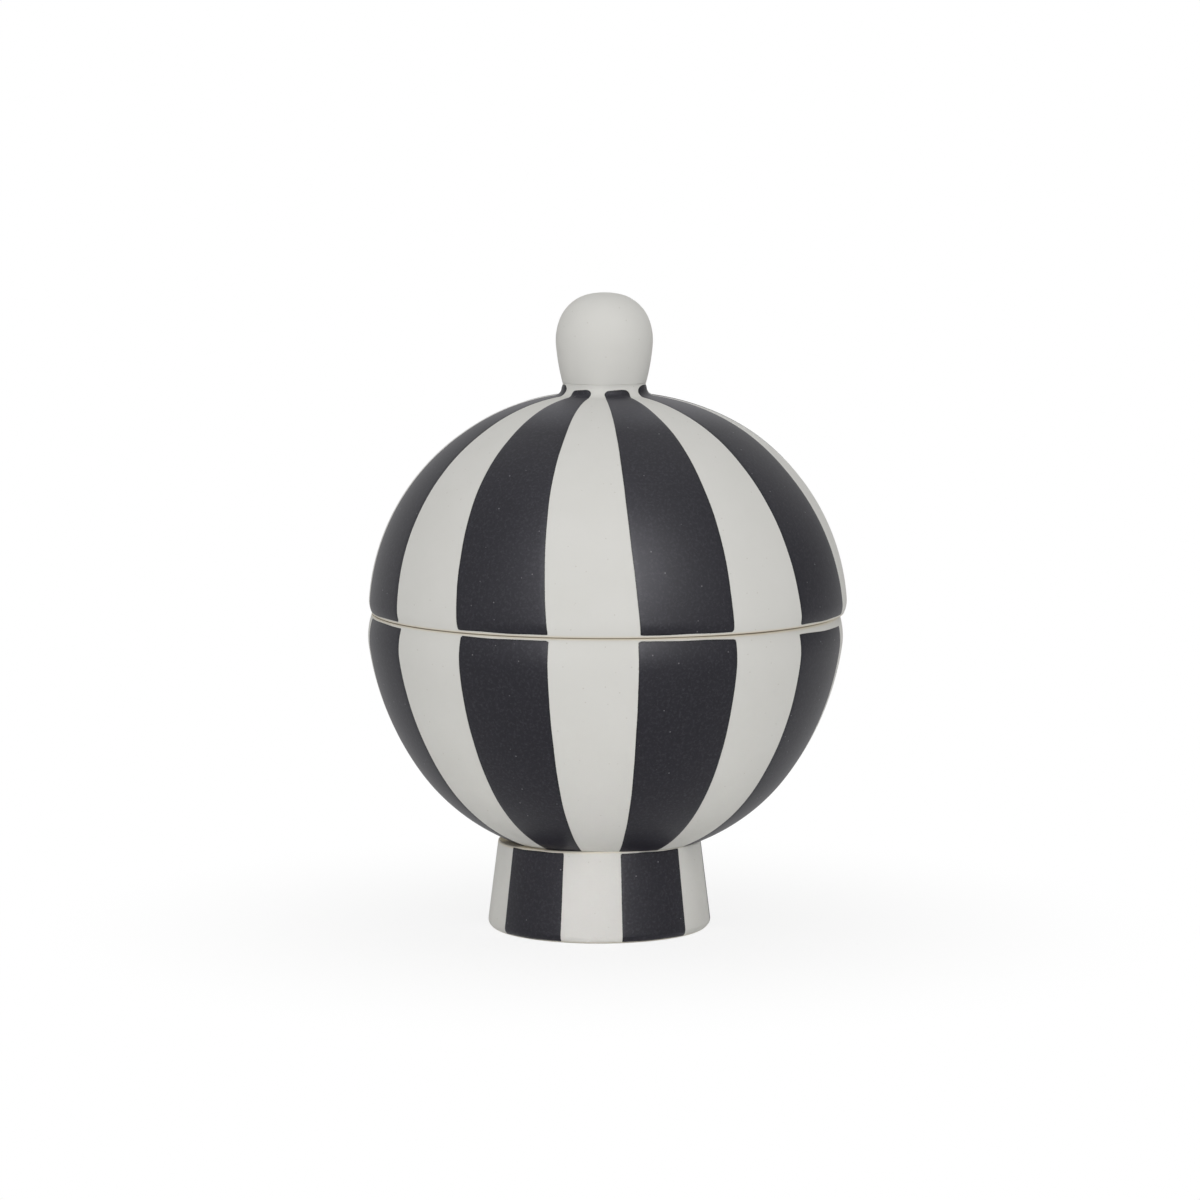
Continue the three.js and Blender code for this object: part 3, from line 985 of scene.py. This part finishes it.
@dataclass(kw_only=True)
class LidDome(TurnedPiece):
    """The cast dome: a glazed inside, a drop flange, a rolled lip, and the neck of the knob."""

    bowl: Bowl
    knob: Knob
    node: str = "lid_dome"
    body: Body = Body.LID
    slot: Slot = Slot.BANDED
    proud: float = 0.1
    ragged: tuple[Wave, ...] = (Wave(0.05, 13), Wave(0.04, 29, 70.0))
    reach: float = 60.1  # widest radius of the dome's arc
    dome_arc: float = 55.4
    centre_drop: float = 0.6  # depth of the arc's centre below the rim
    wall: float = 5.0
    lip_start: float = 3.7  # height above the rim at which the lip ends
    lip_arc: float = 7.0
    lip_edge: float = 0.45
    flange_reach: float = 53.9
    flange_wall: float = 4.0
    flange_lean: float = 1.1  # in degrees
    flange_edge: float = 0.8
    shelf_ease: float = 2.0  # hollow round where the ceiling meets the flange's shelf
    bare_margin: float = 1.0
    corner: float = 0.3
    neck_corner: float = 1.5
    neck_wave: Wave = Wave(0.12, 8, -90.0)  # tilts the bands' upper ends
    flare: float = 0.3  # how much wider each side of a band's upper end is
    flare_length: float = 2.4
    neck_margin: float = 0.3  # bare neck above the bands' ends at the sides
    neck_dip: float = 1.0  # how much lower the bands end at the front and the back
    dip_turn: tuple[float, float] = (0.1, 0.6)  # squared cosines of the azimuths where that grows
    pool: float = 0.35  # extra thickness of the bands' ends at the neck
    pool_length: float = 3.0
    blend_length: float = 28.0  # stretch below the neck over which the dome leans to it
    fine: float = 0.9
    coarse: float = 2.4
    bands: Bands = Bands(
        pairs=8, first=6.6, width=23.3,
        slips=(
            (0.0, -0.2), (-0.5, 0.8), (0.5, 0.6), (-0.6, -0.4),
            (0.7, -0.5), (-0.5, 0.3), (0.3, -0.1), (0.1, 0.2),
        ),
        twist=-0.082, level=91.0,
        strays=(
            Stray(0, Edge.START, 0.5, 131.0, 6.0),
            Stray(0, Edge.END, 1.15, 82.0),
            Stray(0, Edge.END, 0.5, 130.0, 7.0),
            Stray(1, Edge.START, -1.0, 128.0, 9.0),
            Stray(1, Edge.END, 5.5, 112.0),
            Stray(6, Edge.START, 0.7, 130.0, 7.0),
            Stray(7, Edge.START, 0.9, 96.0),
        ),
    )
    lip_length: float = field(init=False)  # ways along the outline to the lip's edge,
    neck_start: float = field(init=False)  # to the start of the neck
    neck_length: float = field(init=False)  # and to the knob's seat on it

    def draw(self) -> Pen:
        """Draws the half section from the ceiling, round the flange and up the outside.

        Returns:
            The pen.
        """
        flange_end, rim = self.bottom, self.bowl.rim
        centre = Vector((self.reach - self.dome_arc, rim - self.centre_drop))
        inner = self.dome_arc - self.wall
        pen = Pen(0.0, centre.y + inner, -90.0)
        pen.cover(Skin.GLAZED)
        pen.line(centre.x, pen.place.y, self.coarse)
        shelf = degrees(asin((self.wall + self.shelf_ease + self.centre_drop) / inner))
        pen.arc(-inner, shelf - 180, self.coarse)
        pen.arc(-self.shelf_ease, -270.0, self.shelf_ease / HIDDEN_ROUND)
        inside = self.flange_reach - self.flange_wall
        pen.line(inside + self.flange_edge, pen.place.y, self.coarse)
        pen.facing = -270.0
        edge_step = self.flange_edge / HIDDEN_ROUND
        pen.arc(self.flange_edge, self.flange_lean - 180, edge_step)
        pen.cover(Skin.BARE)
        slope = tan(radians(self.flange_lean))
        sink = slope * (pen.place.y - flange_end)
        pen.line(pen.place.x - sink, flange_end + self.flange_edge, self.coarse)
        pen.facing = -180.0
        pen.arc(self.flange_edge, -90.0, edge_step)
        drop = slope * (rim - flange_end)
        pen.line(self.flange_reach - drop - self.flange_edge, flange_end, self.coarse)
        pen.arc(self.flange_edge, -self.flange_lean, edge_step)
        pen.line(self.flange_reach, rim - self.flange_edge / 2, self.coarse)
        pen.arc(-self.flange_edge / 2, -90.0, edge_step / 2)

        # The lip and the dome, worked out from the dome down to the land
        start = degrees(asin((self.lip_start + self.centre_drop) / self.dome_arc))
        foot = centre + (self.dome_arc - self.lip_arc) * direction(start)
        turned = degrees(asin((rim + self.lip_edge - foot.y) / (self.lip_arc - self.lip_edge)))
        edge = foot + (self.lip_arc - self.lip_edge) * direction(turned)
        pen.line(edge.x, rim, self.coarse)
        self.lip_length = pen.length
        pen.cover(Skin.OUTSIDE)
        pen.arc(self.lip_edge, turned, self.lip_edge / EDGE_ROUND)
        pen.arc(self.lip_arc, start, self.lip_arc / LIP_ROUND)
        facing = self.knob.seat_facing
        away = self.knob.seat - centre
        gap = self.dome_arc - away.dot(direction(facing))
        hollow = (away.length_squared - self.dome_arc**2) / (2 * gap)
        fillet = self.knob.seat + hollow * direction(facing) - centre
        pen.arc(self.dome_arc, degrees(atan2(fillet.y, fillet.x)), self.fine)
        self.neck_start = pen.length
        pen.arc(-hollow, facing, hollow / NECK_ROUND)
        self.neck_length = pen.length
        pen.line(0.0, self.knob.seat_height, self.coarse)
        return pen

    def coat(self, spot: Spot) -> float:
        """Measures a band, which flares out where it ends at the neck.

        Args:
            spot: A point of the dome.

        Returns:
            How far the point lies inside the band.
        """
        if spot.along < self.lip_length or spot.along > self.neck_length:
            return UNPAINTED
        low = spot.along - self.lip_length - self.bare_margin + self.raggedness(spot)
        facing = cos(radians(spot.azimuth)) ** 2
        dip = self.neck_dip * smooth_step(facing, *self.dip_turn)
        end = self.neck_length - self.neck_margin - dip
        high = end - spot.along + self.neck_wave.at(spot.azimuth)
        flare = self.flare * smooth_step(self.flare_length - high, 0.0, self.flare_length)
        side = self.bands.inside(spot) + flare
        return rounded(rounded(side, low, self.corner), high, self.neck_corner)

    def lip(self, spot: Spot) -> float:
        """Gives the way up the outside from the lip's edge."""
        return abs(spot.along - self.lip_length)

    def relief(self, spot: Spot, coat: float) -> float:
        """Gives the thickness of the slip, which pools at the bands' upper ends."""
        near_neck = smooth_step(spot.along, self.neck_length - self.pool_length, self.neck_length)
        return (self.proud + self.pool * near_neck) * smooth_step(coat, *self.brim)

    def shift(self, spot: Spot) -> Vector:
        """Leans the top of the dome to the knob's own axis."""
        lean = smooth_step(spot.along, self.neck_start - self.blend_length, self.neck_start)
        return Vector(((self.knob.axis - self.axis) * lean, 0.0, 0.0))


class Effect(Enum):
    """What a lamp does to the object."""

    FULL = "lights it and shows in its sheen"
    SHEEN = "shows in its sheen alone"
    FILL = "lights it and doesn't show"


@dataclass(frozen=True)
class Softbox:
    """A rectangle of soft light that faces the object, with its own lengths in metres."""

    name: str
    azimuth: float
    elevation: float
    distance: float
    width: float
    height: float
    share: float  # part of full white that it gives a white surface, more with a narrow spread
    aim: float = VIEW_HEIGHT  # height that it faces, in millimetres
    spread: float = 180.0  # angle of its beam, in degrees
    effect: Effect = Effect.FULL


def away_from_object(azimuth: float, elevation: float) -> Vector:
    """Gives the unit vector towards an azimuth and an elevation, in degrees."""
    turn, tilt = radians(azimuth), radians(elevation)
    return Vector((sin(turn) * cos(tilt), -cos(turn) * cos(tilt), sin(tilt)))


def looking_at(target: Vector, azimuth: float, elevation: float, distance: float) -> Matrix:
    """Places a lamp or a camera so that it faces a point.

    Args:
        target: The point, in metres.
        azimuth: Direction from the point, in degrees.
        elevation: Height above the horizon, in degrees.
        distance: Distance, in metres.

    Returns:
        The world matrix.
    """
    back = away_from_object(azimuth, elevation)
    rotation = (-back).to_track_quat("-Z", "Y").to_matrix().to_4x4()
    return Matrix.Translation(target + back * distance) @ rotation


@dataclass
class Studio:
    """The pale floor, the soft light, the white surround and the camera."""

    target: Vector
    view_elevation: float = 6.311
    view_distance: float = 1.2
    lens: float = 143.28
    surround: float = 0.43
    dim_azimuth: float = 115.0  # direction in which reflections show a dimmer room
    dim_elevation: float = -20.0
    dim_level: float = 0.4
    dim_edge: float = 0.6  # cosines of the angles from there, at which the dimming starts
    dim_core: float = 0.9  # and is full
    floor_colour: str = "#f6f6f5"
    floor_radius: float = 5.0
    floor_sides: int = 96
    near_lift: float = 0.86  # whiteness of the floor by the object
    near_radius: float = 0.035
    far_radius: float = 0.15  # where the floor is as white as the surround
    softboxes: tuple[Softbox, ...] = (
        Softbox("front_fill", 0.0, 0.5, 1.5, 0.9, 0.5, 0.215),
        Softbox("key", 0.0, 27.0, 1.2, 0.6, 0.6, 0.085),
        Softbox("left_fill", -44.0, 8.0, 1.5, 1.5, 0.9, 0.1),
        Softbox("right_fill", 36.0, 8.0, 1.5, 1.0, 0.9, 0.09),
        Softbox("top", 0.0, 85.0, 1.3, 1.4, 1.4, 0.2),
        Softbox("sheen", 0.0, 28.0, 1.1, 0.73, 0.73, 1.85, effect=Effect.SHEEN),
        Softbox("foot_strip", 0.0, 0.0, 0.9, 0.6, 0.02, 0.002, 13.0, 8.0, Effect.FILL),
    )

    def build(self) -> None:
        """Sets up the stage."""
        self.build_floor()
        self.build_surround()
        for softbox in self.softboxes:
            self.hang(softbox)
        lens = bpy.data.cameras.new("photo_view")
        lens.lens = self.lens
        camera = bpy.data.objects.new("photo_view", lens)
        camera.matrix_world = looking_at(self.target, 0.0, self.view_elevation, self.view_distance)
        bpy.context.scene.collection.objects.link(camera)
        bpy.context.scene.camera = camera
        bpy.context.scene.view_settings.view_transform = "Standard"

    def hang(self, softbox: Softbox) -> None:
        """Hangs a lamp.

        Args:
            softbox: The lamp.
        """
        lamp = bpy.data.lights.new(softbox.name, "AREA")
        lamp.shape = "RECTANGLE"
        lamp.size, lamp.size_y = softbox.width, softbox.height
        lamp.spread = radians(softbox.spread)
        lamp.energy = softbox.share * (pi * softbox.distance) ** 2
        holder = bpy.data.objects.new(softbox.name, lamp)
        aim = Vector((self.target.x, self.target.y, softbox.aim * MM))
        holder.matrix_world = looking_at(aim, softbox.azimuth, softbox.elevation, softbox.distance)
        holder.visible_diffuse = softbox.effect != Effect.SHEEN
        holder.visible_glossy = softbox.effect != Effect.FILL
        bpy.context.scene.collection.objects.link(holder)

    def seen(self, tree: NodeTree) -> NodeSocket:
        """Tells rays that see the background, straight or in a reflection, from rays of light.

        Args:
            tree: The node tree.

        Returns:
            1 for a ray that sees the background, and otherwise 0.
        """
        path = add_node(tree, "LightPath")
        ray = path["Is Camera Ray"]
        for kind in ("Is Glossy Ray", "Is Transmission Ray"):
            kinds = {0: ray, 1: path[kind]}
            ray = add_node(tree, "Math", kinds, operation="MAXIMUM")[0]
        return ray

    def build_floor(self) -> None:
        """Makes the pale floor, which fades to the white background and keeps the shadow."""
        mesh = bmesh.new()
        rim = {"segments": self.floor_sides, "radius": self.floor_radius}
        bmesh.ops.create_circle(mesh, cap_ends=True, **rim)
        data = bpy.data.meshes.new("floor")
        mesh.to_mesh(data)
        mesh.free()
        surface = Surface("pale_paper_sweep")
        tree = surface.tree
        paper = add_node(tree, "BsdfDiffuse", {"Color": linear(self.floor_colour)})[0]
        white = add_node(tree, "Emission", {"Color": linear(WHITE), "Strength": 1.0})[0]
        away = add_node(tree, "VectorMath", {0: surface.place}, operation="LENGTH")["Value"]
        ramp = Ramp(self.near_radius, self.far_radius, self.near_lift, 1.0).inputs(away)
        fade = add_node(tree, "MapRange", ramp, interpolation_type="SMOOTHSTEP")[0]
        lifted = add_node(tree, "Math", {0: self.seen(tree), 1: fade}, operation="MULTIPLY")[0]
        mixed = add_node(tree, "MixShader", {0: lifted, 1: paper, 2: white})[0]
        add_node(tree, "OutputMaterial", {"Surface": mixed})
        data.materials.append(surface.material)
        floor = bpy.data.objects.new("floor", data)
        bpy.context.scene.collection.objects.link(floor)

    def build_surround(self) -> None:
        """Makes the surround: white to the eye, softer as a light, and dimmer at one side."""
        world = bpy.data.worlds.new("white_surround")
        world.use_nodes = True
        tree = world.node_tree
        tree.nodes.clear()
        dimmest = away_from_object(self.dim_azimuth, self.dim_elevation)
        ways = {0: add_node(tree, "TexCoord")["Generated"], 1: dimmest}
        facing = add_node(tree, "VectorMath", ways, operation="DOT_PRODUCT")["Value"]
        ramp = Ramp(self.dim_edge, self.dim_core, 1.0, self.dim_level).inputs(facing)
        room = add_node(tree, "MapRange", ramp, interpolation_type="SMOOTHSTEP")[0]
        straight = add_node(tree, "LightPath")["Is Camera Ray"]
        shown = add_node(tree, "Math", {0: straight, 1: room}, operation="MAXIMUM")[0]
        levels = {"Value": self.seen(tree), "To Min": self.surround, "To Max": shown}
        strength = add_node(tree, "MapRange", levels)[0]
        light = add_node(tree, "Background", {"Color": linear(WHITE), "Strength": strength})[0]
        add_node(tree, "OutputWorld", {"Surface": light})
        bpy.context.scene.world = world


def main() -> None:
    """Builds the box and the studio."""
    logging.basicConfig(level=logging.INFO, format="%(name)s: %(message)s")
    finishes = Finishes()
    banded = [finishes.banded(), finishes.bare(), finishes.glazed()]
    bowl, knob = Bowl(), Knob()
    bowl.build(banded)
    FootRing(bowl=bowl).build(banded)
    LidDome(bowl=bowl, knob=knob).build(banded)
    knob.build([finishes.plain()])
    Studio(target=Vector((-1.38, 0.0, VIEW_HEIGHT)) * MM).build()


if __name__ == "__main__":
    main()
